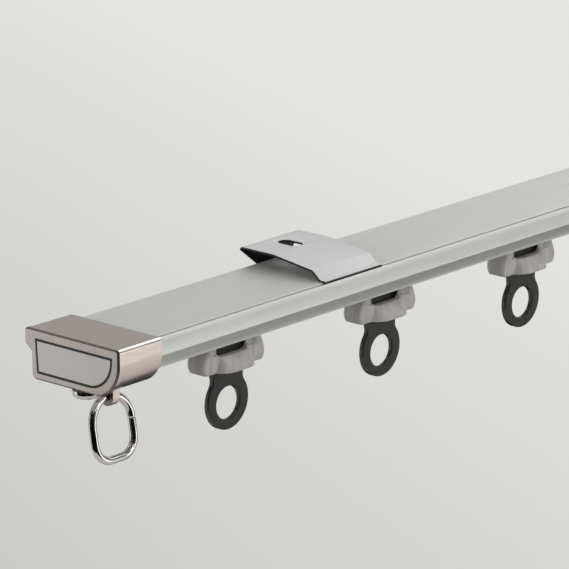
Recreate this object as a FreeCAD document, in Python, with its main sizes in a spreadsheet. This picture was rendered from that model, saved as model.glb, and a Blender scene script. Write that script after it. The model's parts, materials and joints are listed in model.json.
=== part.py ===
import FreeCAD, Part
import math
import os
import Sketcher

# Ceiling curtain track: an aluminium extrusion with an end cap at each end, two sprung
# ceiling clips on top and a row of two-wheeled gliders with eyed hangers.
# Millimetres. X runs along the track, -Y is the room side, +Y the wall side, +Z is up.
# The origin is on the ceiling, at the middle of the track, above its slot.
# Section heights are measured from the top plate's outer face, negative downwards.

SIZES = {
    # shared
    "cut_past": 1.0,
    "arc_ease": 0.0005,
    # rail
    "rail_length": 373.6,
    "plate_wall": 1.2,
    "groove_mouth": 0.9,
    "groove_lip": 1.0,
    "groove_undercut": 1.0,
    "groove_depth": 2.4,
    "shoulder_drop": 0.15,
    "side_reach": 16.0,
    "top_in": 2.7,
    "side_drop": 4.6,
    "side_radius": 7.0,
    "chamfer_in": 2.0,
    "foot_in": 0.3,
    "rail_height": 8.7,
    "shelf_wall": 1.1,
    "side_wall": 1.2,
    "slot_half": 3.0,
    "body_reach": 12.3,
    "lip_reach": 14.7,
    "lip_wall": 1.1,
    "lip_drop": 3.5,
    "lip_bevel": 1.4,
    # end caps
    "cap_length": 16.2,
    "cap_face": 2.2,
    "cap_wall": 1.2,
    "cap_top": 0.9,
    "cap_drop": 12.4,
    "cap_round": 9.4,
    "cap_corner": 1.0,
    "cap_foot_corner": 1.6,
    "cap_step": 2.0,
    "cap_edge": 0.6,
    "rim_out": 0.45,
    "rim_thick": 1.6,
    "cap_fit": 0.15,
    "end_gap": 0.2,
    "floor_wall": 1.3,
    "column_margin": 0.4,
    "hollow_inset": 1.0,
    "hollow_slant": 2.0,
    "frame_top": 1.5,
    "frame_near": 2.3,
    "frame_far": 0.9,
    "frame_low": 1.4,
    "frame_bend": 1.0,
    "frame_slant": 0.6,
    "frame_groove": 0.5,
    "frame_depth": 0.35,
    # clamp screw under each cap
    "screw_place": 5.9,
    "screw_shank": 2.0,
    "screw_head": 3.8,
    "screw_head_rise": 2.2,
    "screw_head_edge": 0.9,
    "screw_slack": 0.05,
    "screw_recess": 0.7,
    "screw_arm": 1.9,
    "boss_radius": 3.2,
    "boss_rise": 1.7,
    # lug and ring under each cap
    "lug_thick": 2.5,
    "lug_half": 2.5,
    "lug_inset": 0.5,
    "lug_web": 1.3,
    "ring_hang": 17.9,
    "ring_shift": 0.5,
    "ring_wire": 1.1,
    "ring_slack": 0.3,
    "ring_half": 7.3,
    "ring_height": 16.9,
    "ring_corner": 5.2,
    "ring_joint": 0.3,
    "ring_swing": 10.0,
    # ceiling clips
    "clip_margin": 94.2,
    "clip_width": 24.0,
    "clip_sheet": 0.6,
    "clip_rise": 4.8,
    "clip_pad": 8.4,
    "clip_heel": 2.9,
    "clip_heel_in": 3.7,
    "clip_step": 1.0,
    "clip_fold": 1.0,
    "clip_past_lip": 0.4,
    "clip_overhang": 2.4,
    "clip_gap": 0.1,
    "clip_bend": 1.2,
    "clip_tongue_half": 6.7,
    "clip_slot_width": 4.4,
    "clip_slot_length": 7.8,
    "clip_slot_place": 9.0,
    "clip_foot_room": 0.3,
    "clip_slant": 1.0,
    "clip_toe_gap": 0.9,
    "clip_pad_turn": 0.05,
    "clip_heel_turn": 0.35,
    "clip_step_turn": 0.45,
    # gliders
    "glider_margin": 57.6,
    "axle_radius": 0.75,
    "axle_head": 1.4,
    "axle_head_thick": 0.6,
    "wheel_radius": 2.95,
    "wheel_width": 3.0,
    "wheel_hub": 1.5,
    "wheel_edge": 0.35,
    "wheel_clear": 0.4,
    "wheel_slack": 0.05,
    "side_play": 0.2,
    "hanger_thick": 1.6,
    "hanger_half": 7.0,
    "hanger_top_gap": 0.8,
    "neck_half": 6.5,
    "waist_half": 5.6,
    "eye_drop": 30.3,
    "eye_outer": 8.0,
    "eye_hole": 4.7,
    "eye_sink": 0.5,
    "eye_edge": 0.25,
    "neck_blend": 3.0,
    "neck_past": 0.2,
    "sleeve_gap": 0.5,
    "sleeve_drop": 20.3,
    "sleeve_top_half": 10.6,
    "sleeve_waist_half": 10.9,
    "sleeve_half": 12.2,
    "sleeve_rim_draw": 0.6,
    "sleeve_bulge_drop": 18.4,
    "sleeve_end_width": 6.8,
    "bumper_corner": 0.9,
    "sleeve_neck_width": 4.8,
    "sleeve_neck_half": 7.7,
    "sleeve_slack": 0.1,
    "sleeve_wall": 1.1,
    "collar_rise": 0.7,
    "collar_root": 0.3,
    "collar_half": 9.0,
    "collar_corner": 1.4,
    "skirt_drop": 14.9,
    "skirt_half": 8.2,
    "skirt_width": 12.4,
    "skirt_root_half": 8.1,
    "skirt_root_corner": 2.3,
    "skirt_mid_drop": 17.2,
    "skirt_mid_half": 7.7,
    "skirt_mid_width": 10.4,
    "skirt_mid_corner": 5.0,
    "skirt_corner": 5.9,
    "hollow_root_half": 7.1,
    "hollow_root_width": 2.8,
    "hollow_root_corner": 1.2,
    "window_half": 6.9,
    "window_rise": 4.0,
    "window_low_in": 1.3,
    "window_high_in": 0.4,
    "window_side_in": 1.0,
    "window_corner": 2.2,
    "window_bend": 2.6,
    "window_wall": 0.5,
    "window_sill": 1.2,
}
GLIDERS = 5
SMALL = 1e-6
NEAR = 0.05
LEAST_VOLUME = 0.1

doc = FreeCAD.newDocument("CurtainTrack")
sheet = doc.addObject("Spreadsheet::Sheet", "Sizes")
for row, (name, number) in enumerate(SIZES.items(), start=1):
    sheet.set("A%d" % row, name)
    sheet.set("B%d" % row, str(number))
    sheet.setAlias("B%d" % row, name)
doc.recompute()


class Size:
    """A length that knows its value and the sheet expression it comes from."""

    def __init__(self, value, text):
        self.value = float(value)
        self.text = text

    def __add__(self, other):
        other = size(other)
        return Size(self.value + other.value, "(%s + %s)" % (self.text, other.text))

    def __sub__(self, other):
        other = size(other)
        return Size(self.value - other.value, "(%s - %s)" % (self.text, other.text))

    def __mul__(self, other):
        other = size(other)
        return Size(self.value * other.value, "(%s * %s)" % (self.text, other.text))

    def __truediv__(self, other):
        other = size(other)
        return Size(self.value / other.value, "(%s / %s)" % (self.text, other.text))

    def __neg__(self):
        return Size(-self.value, "(0 - %s)" % self.text)

    def __radd__(self, other):
        return size(other) + self

    def __rsub__(self, other):
        return size(other) - self

    def __rmul__(self, other):
        return size(other) * self


def size(number):
    """Wrap a plain number, or hand back a Size as it is."""
    if isinstance(number, Size):
        return number
    return Size(number, repr(float(number)))


def root(amount):
    """The square root of a Size."""
    return Size(math.sqrt(amount.value), "sqrt(%s)" % amount.text)


class Sheet:
    """Attribute access to the spreadsheet's cells as Sizes."""

    def __getattr__(self, name):
        return Size(sheet.get(name), "Sizes." + name)


s = Sheet()
ZERO = size(0)


# Shared building steps

def make_body(label, x=ZERO, y=ZERO, z=ZERO):
    """A body whose placement is bound to the sheet."""
    body = doc.addObject("PartDesign::Body", label)
    body.Label = label
    base = FreeCAD.Vector(x.value, y.value, z.value)
    body.Placement = FreeCAD.Placement(base, FreeCAD.Rotation())
    body.setExpression("Placement.Base.x", x.text)
    body.setExpression("Placement.Base.y", y.text)
    body.setExpression("Placement.Base.z", z.text)
    return body


def make_sketch(body, name, role, offset=ZERO):
    """A sketch on one of the body's origin planes, moved along the plane's normal."""
    plane = [item for item in body.Origin.OriginFeatures if item.Role == role][0]
    sketch = body.newObject("Sketcher::SketchObject", body.Label + "_" + name)
    sketch.AttachmentSupport = (plane, [""])
    sketch.MapMode = "FlatFace"
    shift = FreeCAD.Vector(0, 0, offset.value)
    sketch.AttachmentOffset = FreeCAD.Placement(shift, FreeCAD.Rotation())
    sketch.setExpression("AttachmentOffset.Base.z", offset.text)
    return sketch


def hold(sketch, kind, places, amount):
    """One dimension bound to the sheet."""
    index = sketch.addConstraint(Sketcher.Constraint(kind, *places, amount.value))
    sketch.setExpression("Constraints[%d]" % index, amount.text)


def arc_between(start, end, radius):
    """The arc from start to end: a positive radius turns left, a negative one right."""
    middle = (start + end) * 0.5
    chord = end - start
    reach = math.sqrt(max(radius ** 2 - (chord.Length / 2) ** 2, 0.0))
    side = FreeCAD.Vector(-chord.y, chord.x, 0).normalize()
    centre = middle + side * math.copysign(reach, radius)
    first, last = (start, end) if radius > 0 else (end, start)
    angles = [math.atan2(p.y - centre.y, p.x - centre.x) for p in (first, last)]
    circle = Part.Circle(centre, FreeCAD.Vector(0, 0, 1), abs(radius))
    return Part.ArcOfCircle(circle, angles[0], angles[1])


def add_path(sketch, corners, arcs, closed):
    """Lines through the corners, with an arc of the given radius after some of them."""
    points = [FreeCAD.Vector(a.value, b.value, 0) for a, b in corners]
    count = len(points) if closed else len(points) - 1
    pieces = []
    for i in range(count):
        start = points[i]
        end = points[(i + 1) % len(points)]
        if i in arcs:
            geometry = sketch.addGeometry(arc_between(start, end, arcs[i].value), False)
            ends = (1, 2) if arcs[i].value > 0 else (2, 1)
            radius = arcs[i] if arcs[i].value > 0 else -arcs[i]
            hold(sketch, "Radius", (geometry,), radius)
        else:
            geometry = sketch.addGeometry(Part.LineSegment(start, end), False)
            ends = (1, 2)
        pieces.append((geometry, ends))
    for i in range(count if closed else count - 1):
        (this, ends), (following, starts) = pieces[i], pieces[(i + 1) % count]
        join = Sketcher.Constraint("Coincident", this, ends[1], following, starts[0])
        sketch.addConstraint(join)
    for (geometry, ends), (a, b) in zip(pieces, corners):
        hold(sketch, "DistanceX", (-1, 1, geometry, ends[0]), a)
        hold(sketch, "DistanceY", (-1, 1, geometry, ends[0]), b)
    if not closed:
        geometry, ends = pieces[-1]
        hold(sketch, "DistanceX", (-1, 1, geometry, ends[1]), corners[-1][0])
        hold(sketch, "DistanceY", (-1, 1, geometry, ends[1]), corners[-1][1])


def add_outline(sketch, corners, arcs=None):
    """A closed outline."""
    pairs = [(size(a), size(b)) for a, b in corners]
    bends = {i: size(r) for i, r in (arcs or {}).items()}
    add_path(sketch, pairs, bends, True)


def add_circle(sketch, a, b, radius):
    """A circle with its centre and radius bound."""
    a, b, radius = size(a), size(b), size(radius)
    centre = FreeCAD.Vector(a.value, b.value, 0)
    circle = Part.Circle(centre, FreeCAD.Vector(0, 0, 1), radius.value)
    geometry = sketch.addGeometry(circle, False)
    hold(sketch, "DistanceX", (-1, 1, geometry, 3), a)
    hold(sketch, "DistanceY", (-1, 1, geometry, 3), b)
    hold(sketch, "Radius", (geometry,), radius)


def add_rounded(sketch, half_a, half_b, radius, b=ZERO):
    """A rectangle centred on a=0 with four round corners."""
    flat_a = half_a - radius
    flat_b = half_b - radius
    corners = [(flat_a, b - half_b), (half_a, b - flat_b), (half_a, b + flat_b),
               (flat_a, b + half_b), (-flat_a, b + half_b), (-half_a, b + flat_b),
               (-half_a, b - flat_b), (-flat_a, b - half_b)]
    add_outline(sketch, corners, {0: radius, 2: radius, 4: radius, 6: radius})


def extrude(body, kind, sketch, length, both_ways=False, reverse=False):
    """A Pad or a Pocket of the sketch."""
    before = body.Tip.Shape.Volume if body.Tip else 0.0
    feature = body.newObject("PartDesign::" + kind, sketch.Label + "_" + kind.lower())
    feature.Profile = sketch
    feature.setExpression("Length", size(length).text)
    feature.Midplane = both_ways
    feature.Reversed = reverse
    doc.recompute()
    body.Tip = feature
    changed = feature.Shape.Volume - before
    if (changed <= 0) == (kind == "Pad") or feature.Shape.Volume < LEAST_VOLUME:
        raise ValueError("%s changed nothing" % feature.Label)
    return feature


def soften(body, kind, choose, amount):
    """A Fillet or Chamfer on the edges of the tip that the test picks."""
    base = body.Tip
    names = ["Edge%d" % i for i, edge in enumerate(base.Shape.Edges, start=1) if choose(edge)]
    feature = body.newObject("PartDesign::" + kind, body.Label + "_" + kind.lower())
    feature.Base = (base, names)
    feature.setExpression("Radius" if kind == "Fillet" else "Size", amount.text)
    doc.recompute()
    body.Tip = feature
    return feature


def runs_along(edge, axis):
    """True for a straight edge along the axis."""
    if edge.Curve.TypeId != "Part::GeomLine":
        return False
    direction = edge.Curve.Direction
    return abs(abs(direction.dot(axis)) - 1) < SMALL


X_AXIS = FreeCAD.Vector(1, 0, 0)
Y_AXIS = FreeCAD.Vector(0, 1, 0)

# Shared heights and places
rail_top = -s.clip_rise
half_length = s.rail_length / 2 + s.end_gap + s.cap_face
shelf_top = -(s.rail_height - s.shelf_wall)
top_half = s.side_reach - s.top_in
groove_out = top_half + s.groove_mouth
chamfer_out = s.side_reach - s.chamfer_in
foot_out = chamfer_out - s.foot_in
wheel_centre = shelf_top + s.wheel_slack + s.wheel_radius
screw_end = s.plate_wall + s.cap_fit
lug_middle = s.cap_length - s.lug_inset - s.lug_thick / 2


# Rail

def make_rail():
    """The extrusion: outer section, channel, slot and the groove along the room side."""
    body = make_body("rail", z=rail_top)
    section = make_sketch(body, "section", "YZ_Plane")
    body_wall = s.body_reach
    add_outline(section, [
        (s.lip_reach - s.lip_bevel, ZERO),
        (-top_half, ZERO),
        (-groove_out, -s.shoulder_drop),
        (-s.side_reach, -s.side_drop),
        (-chamfer_out, shelf_top),
        (-foot_out, -s.rail_height),
        (body_wall, -s.rail_height),
        (body_wall, -s.plate_wall),
        (s.lip_reach - s.lip_wall, -s.plate_wall),
        (s.lip_reach - s.lip_wall, -s.lip_drop),
        (s.lip_reach, -s.lip_drop),
        (s.lip_reach, -s.lip_bevel)], {2: s.side_radius})
    extrude(body, "Pad", section, s.rail_length, both_ways=True)

    channel = make_sketch(body, "channel", "YZ_Plane")
    block_in = top_half - s.groove_undercut - s.side_wall
    block_under = s.groove_depth + s.plate_wall
    side_in = s.side_reach - s.side_wall
    far_in = body_wall - s.side_wall
    add_outline(channel, [
        (far_in, -s.plate_wall),
        (-block_in, -s.plate_wall),
        (-block_in, -block_under),
        (-side_in, -block_under),
        (-side_in, -s.side_drop),
        (-(foot_out - s.side_wall), shelf_top),
        (far_in, shelf_top)])
    extrude(body, "Pocket", channel, s.rail_length + s.cut_past * 2, both_ways=True)

    slot = make_sketch(body, "slot", "YZ_Plane")
    add_outline(slot, [
        (-s.slot_half, shelf_top + s.cut_past),
        (-s.slot_half, -s.rail_height - s.cut_past),
        (s.slot_half, -s.rail_height - s.cut_past),
        (s.slot_half, shelf_top + s.cut_past)])
    extrude(body, "Pocket", slot, s.rail_length + s.cut_past * 2, both_ways=True)

    groove = make_sketch(body, "groove", "YZ_Plane")
    add_outline(groove, [
        (-top_half, s.cut_past),
        (-groove_out, s.cut_past),
        (-groove_out, -s.groove_depth),
        (-(top_half - s.groove_undercut), -s.groove_depth),
        (-(top_half - s.groove_undercut), -s.groove_lip),
        (-top_half, -s.groove_lip)])
    extrude(body, "Pocket", groove, s.rail_length + s.cut_past * 2, both_ways=True)
    return body


# End caps

def make_end_cap(label):
    """The cap at the -X end: a cast sleeve over the rail's section with a closed face."""
    body = make_body(label, x=-half_length, z=rail_top)
    near = s.side_reach + s.cap_fit + s.cap_wall
    far = s.lip_reach + s.cap_fit + s.cap_wall
    far_low = s.body_reach + s.cap_fit + s.cap_wall
    step_top = s.lip_drop - s.cap_fit

    def add_section(name, out):
        """The cap's outline, with extra on the wall side and the underside."""
        sketch = make_sketch(body, name, "YZ_Plane")
        foot = s.cap_drop + out
        add_outline(sketch, [
            (far + out - s.cap_corner, s.cap_top),
            (-(near - s.cap_corner), s.cap_top),
            (-near, s.cap_top - s.cap_corner),
            (-near, -(foot - s.cap_round)),
            (-(near - s.cap_round), -foot),
            (far_low + out - s.cap_foot_corner, -foot),
            (far_low + out, -(foot - s.cap_foot_corner)),
            (far_low + out, -(step_top + s.cap_step)),
            (far + out, -step_top),
            (far + out, s.cap_top - s.cap_corner)],
            {1: s.cap_corner, 3: s.cap_round, 5: s.cap_foot_corner, 9: s.cap_corner})
        return sketch

    extrude(body, "Pad", add_section("shell", ZERO), s.cap_length)
    extrude(body, "Pad", add_section("rim", s.rim_out), s.rim_thick)
    soften(body, "Fillet", lambda edge: edge.BoundBox.XMax < SMALL, s.cap_edge)

    boss = make_sketch(body, "boss", "XY_Plane", -s.cap_drop)
    add_circle(boss, s.screw_place, ZERO, s.boss_radius)
    extrude(body, "Pad", boss, s.boss_rise, reverse=True)

    # The ring's lug: a round-ended plate across the cap's rear edge.
    floor = s.cap_drop - s.floor_wall
    hole = s.ring_wire + s.ring_slack
    lug = make_sketch(body, "lug", "YZ_Plane", lug_middle - s.lug_thick / 2)
    low = s.ring_hang + hole + s.lug_web
    straight = low - s.lug_half
    add_outline(lug, [
        (-s.lug_half, -floor),
        (-s.lug_half, -straight),
        (s.lug_half, -straight),
        (s.lug_half, -floor)], {1: s.lug_half + s.arc_ease})
    extrude(body, "Pad", lug, s.lug_thick)

    # The cavity follows the rail's section with a small fit all round.
    cavity = make_sketch(body, "cavity", "YZ_Plane", s.cap_face)
    fit = s.cap_fit
    add_outline(cavity, [
        (s.lip_reach + fit, fit),
        (-(groove_out + fit), fit),
        (-(s.side_reach + fit), -s.side_drop),
        (-(chamfer_out + fit), shelf_top),
        (-(foot_out + fit), -(s.rail_height + fit)),
        (s.body_reach + fit, -(s.rail_height + fit)),
        (s.body_reach + fit, -(s.lip_drop + fit)),
        (s.lip_reach + fit, -(s.lip_drop + fit))], {1: s.side_radius})
    extrude(body, "Pocket", cavity, s.cap_length, reverse=True)

    # The deep floor is hollow on both sides of the column that holds the screw and the lug.
    column = s.boss_radius + s.column_margin
    hollow = make_sketch(body, "hollow", "YZ_Plane", s.cap_face)
    near_low = near - s.cap_round + s.hollow_inset
    far_wall = s.body_reach - s.hollow_inset
    add_outline(hollow, [
        (-column, -s.rail_height),
        (-near_low - s.hollow_slant, -s.rail_height),
        (-near_low, -floor),
        (-column, -floor)])
    add_outline(hollow, [
        (column, -s.rail_height),
        (column, -floor),
        (far_wall, -floor),
        (far_wall, -s.rail_height)])
    extrude(body, "Pocket", hollow, s.cap_length, reverse=True)

    seat = s.cap_drop + s.boss_rise
    thread = make_sketch(body, "thread", "XY_Plane", -(seat + s.cut_past))
    add_circle(thread, s.screw_place, ZERO, s.screw_shank + s.screw_slack)
    extrude(body, "Pocket", thread, seat - s.rail_height + s.cut_past * 2, reverse=True)

    eye = make_sketch(body, "eye", "YZ_Plane", s.cap_length + s.cut_past)
    add_circle(eye, ZERO, -s.ring_hang, hole)
    extrude(body, "Pocket", eye, s.lug_thick + s.lug_inset + s.cut_past * 2)

    # The frame groove outlines the bare plate on the face.
    frame = make_sketch(body, "frame", "YZ_Plane")
    for inset in (ZERO, s.frame_groove):
        top = s.frame_top + inset
        left = far_low - s.frame_far - inset
        right = near - s.frame_near - inset
        bottom = s.cap_drop - s.frame_low - inset
        bend = s.cap_round - s.frame_bend - inset
        add_outline(frame, [
            (left, -top),
            (-right, -top),
            (-right, -(bottom - bend)),
            (-(right - bend), -bottom),
            (left - s.frame_slant, -bottom)], {2: bend})
    extrude(body, "Pocket", frame, s.frame_depth, reverse=True)
    return body


def make_cap_screw(label):
    """A pan-head clamp screw that runs up through the slot to the top plate."""
    body = make_body(label, x=-half_length + s.screw_place, z=rail_top)
    seat = s.cap_drop + s.boss_rise
    low = seat + s.screw_head_rise
    edge = s.screw_head_edge
    profile = make_sketch(body, "profile", "XZ_Plane")
    add_outline(profile, [
        (ZERO, -screw_end),
        (s.screw_shank, -screw_end),
        (s.screw_shank, -seat),
        (s.screw_head, -seat),
        (s.screw_head, -(low - edge)),
        (s.screw_head - edge, -low),
        (ZERO, -low)], {4: -edge})
    turned = body.newObject("PartDesign::Revolution", label + "_turned")
    turned.Profile = profile
    turned.ReferenceAxis = (profile, ["V_Axis"])
    turned.Angle = 360
    doc.recompute()
    body.Tip = turned

    cross = make_sketch(body, "cross", "XY_Plane", -low)
    arm = s.screw_arm
    half = s.screw_recess / 2
    add_outline(cross, [
        (arm, -half), (arm, half), (half, half), (half, arm), (-half, arm), (-half, half),
        (-arm, half), (-arm, -half), (-half, -half), (-half, -arm), (half, -arm), (half, -half)])
    extrude(body, "Pocket", cross, s.screw_recess, reverse=True)
    return body


def make_end_ring(label):
    """A bent wire ring through the lug's hole, its ends meeting on one side."""
    middle = -half_length + lug_middle - s.ring_shift
    body = make_body(label, x=middle, z=rail_top - s.ring_hang)
    base = body.Placement.Base
    body.Placement = FreeCAD.Placement(base, FreeCAD.Rotation(X_AXIS, -s.ring_swing.value))
    body.setExpression("Placement.Rotation.Axis.x", "1")
    body.setExpression("Placement.Rotation.Axis.y", "0")
    body.setExpression("Placement.Rotation.Axis.z", "0")
    body.setExpression("Placement.Rotation.Angle", "0 - Sizes.ring_swing")
    half = s.ring_half
    corner = s.ring_corner
    low = s.ring_height
    path = make_sketch(body, "path", "XZ_Plane")
    add_path(path, [
        (half, -(half + s.ring_joint)),
        (half, -(low - corner)),
        (half - corner, -low),
        (-(half - corner), -low),
        (-half, -(low - corner)),
        (-half, -half),
        (half, -half)], {1: -corner, 3: -corner, 5: -(half + s.arc_ease)}, False)
    wire = make_sketch(body, "wire", "XY_Plane", -(half + s.ring_joint))
    add_circle(wire, half, ZERO, s.ring_wire)
    doc.recompute()
    pipe = body.newObject("PartDesign::AdditivePipe", label + "_pipe")
    pipe.Profile = wire
    pipe.Spine = (path, ["Edge%d" % (i + 1) for i in range(6)])
    doc.recompute()
    body.Tip = pipe
    return body


# Ceiling clips

def make_clip(label, x):
    """A stamped strap: hooked in the groove, stepped up, slotted and folded over the lip."""
    body = make_body(label, x=x, z=rail_top)
    sheet_wall = s.clip_sheet
    leg = groove_out - s.side_play
    foot = top_half - s.groove_undercut + s.clip_foot_room
    foot_top = s.groove_lip + s.clip_foot_room
    rise = s.clip_rise
    heel = -(top_half - s.clip_heel_in)
    step = -(top_half - s.clip_step)
    pad_near = s.clip_slot_place - s.clip_pad / 2
    fold = s.lip_reach + s.clip_overhang
    tongue = s.lip_reach + s.clip_past_lip
    hook = s.lip_drop + s.clip_gap
    slant = s.clip_slant
    toe = s.body_reach + s.clip_toe_gap
    profile = make_sketch(body, "profile", "YZ_Plane")
    add_outline(profile, [
        (-foot, -(foot_top + sheet_wall)),
        (-leg, -(foot_top + sheet_wall)),
        (-leg, sheet_wall * 0.5),
        (-(leg - sheet_wall * 0.5), sheet_wall),
        (step, sheet_wall),
        (heel, s.clip_heel),
        (pad_near, rise),
        (fold - s.clip_fold, rise),
        (fold, rise - s.clip_fold),
        (tongue + sheet_wall, -slant),
        (tongue + sheet_wall, -(hook + sheet_wall)),
        (toe, -(hook + sheet_wall)),
        (toe, -hook),
        (tongue, -hook),
        (tongue, -slant),
        (fold - sheet_wall, rise - s.clip_fold),
        (fold - s.clip_fold, rise - sheet_wall),
        (pad_near + s.clip_pad_turn, rise - sheet_wall),
        (heel + s.clip_heel_turn, s.clip_heel - sheet_wall),
        (step + s.clip_step_turn, ZERO),
        (-(leg - sheet_wall), ZERO),
        (-(leg - sheet_wall), -foot_top),
        (-foot, -foot_top)],
        {2: -(sheet_wall * 0.5), 7: -s.clip_fold, 15: s.clip_fold - sheet_wall})
    extrude(body, "Pad", profile, s.clip_width, both_ways=True)

    def is_step_edge(edge):
        """The four long edges of the step between the hook and the leaf."""
        if not runs_along(edge, X_AXIS):
            return False
        y = edge.CenterOfMass.y
        z = edge.CenterOfMass.z
        last = (heel + s.clip_heel_turn).value + NEAR
        return step.value - NEAR < y < last and z > -NEAR

    soften(body, "Fillet", is_step_edge, s.clip_bend)

    # The folded tongue narrows towards its hook.
    half = s.clip_width / 2
    below = hook + sheet_wall + s.cut_past
    for side in (1, -1):
        taper = make_sketch(body, "taper_%s" % ("left" if side < 0 else "right"), "XZ_Plane",
                            -(tongue - s.clip_foot_room))
        outer = (half + s.cut_past) * side
        add_outline(taper, [
            (half * side, rise - s.clip_fold),
            (outer, rise - s.clip_fold),
            (outer, -below),
            (s.clip_tongue_half * side, -below),
            (s.clip_tongue_half * side, -slant)])
        extrude(body, "Pocket", taper, s.clip_overhang + s.cut_past * 2)
    foot_trim = make_sketch(body, "foot_trim", "XZ_Plane", -s.body_reach)
    for side in (1, -1):
        outer = (half + s.cut_past) * side
        add_outline(foot_trim, [
            (s.clip_tongue_half * side, -(hook - s.clip_pad_turn)),
            (outer, -(hook - s.clip_pad_turn)),
            (outer, -below),
            (s.clip_tongue_half * side, -below)])
    extrude(body, "Pocket", foot_trim, s.clip_overhang + s.cut_past)

    slot = make_sketch(body, "slot", "XY_Plane", rise)
    radius = s.clip_slot_width / 2
    flat = s.clip_slot_length / 2 - radius
    place = s.clip_slot_place
    add_outline(slot, [
        (radius, place - flat),
        (radius, place + flat),
        (-radius, place + flat),
        (-radius, place - flat)], {1: radius + s.arc_ease, 3: radius + s.arc_ease})
    extrude(body, "Pocket", slot, sheet_wall * 2)
    return body


# Gliders

def make_hanger(label, x):
    """The steel plate: a wide head round the axle, a tapered neck and an eye."""
    body = make_body(label, x=x, z=rail_top)
    top = s.plate_wall + s.hanger_top_gap
    neck_at = s.sleeve_drop + s.neck_past
    waist_at = s.eye_drop - root(s.eye_outer * s.eye_outer - s.waist_half * s.waist_half)
    neck = make_sketch(body, "neck", "XZ_Plane")
    shoulder = s.skirt_drop + s.cut_past
    add_outline(neck, [
        (s.hanger_half, -top), (-s.hanger_half, -top),
        (-s.hanger_half, -shoulder), (-s.neck_half, -neck_at),
        (-s.waist_half, -waist_at), (ZERO, -s.eye_drop),
        (s.waist_half, -waist_at),
        (s.neck_half, -neck_at), (s.hanger_half, -shoulder)])
    extrude(body, "Pad", neck, s.hanger_thick, both_ways=True)
    eye = make_sketch(body, "eye", "XZ_Plane")
    add_circle(eye, ZERO, -s.eye_drop, s.eye_outer)
    extrude(body, "Pad", eye, s.hanger_thick, both_ways=True)

    # The neck runs into the eye with a blend on each side.
    def is_blend_edge(edge):
        """The two edges where the neck meets the eye."""
        centre = edge.CenterOfMass
        return (runs_along(edge, Y_AXIS) and abs(centre.z + waist_at.value) < NEAR
                and abs(abs(centre.x) - s.waist_half.value) < NEAR)

    soften(body, "Fillet", is_blend_edge, s.neck_blend)
    hole = make_sketch(body, "hole", "XZ_Plane")
    add_circle(hole, ZERO, -(s.eye_drop + s.eye_sink), s.eye_hole)
    add_circle(hole, ZERO, wheel_centre, s.axle_radius)
    extrude(body, "Pocket", hole, s.hanger_thick + s.cut_past * 2, both_ways=True)

    def is_eye_rim(edge):
        curve = edge.Curve
        return curve.TypeId == "Part::GeomCircle" and abs(curve.Radius - s.eye_hole.value) < SMALL

    soften(body, "Chamfer", is_eye_rim, s.eye_edge)
    return body


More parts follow.
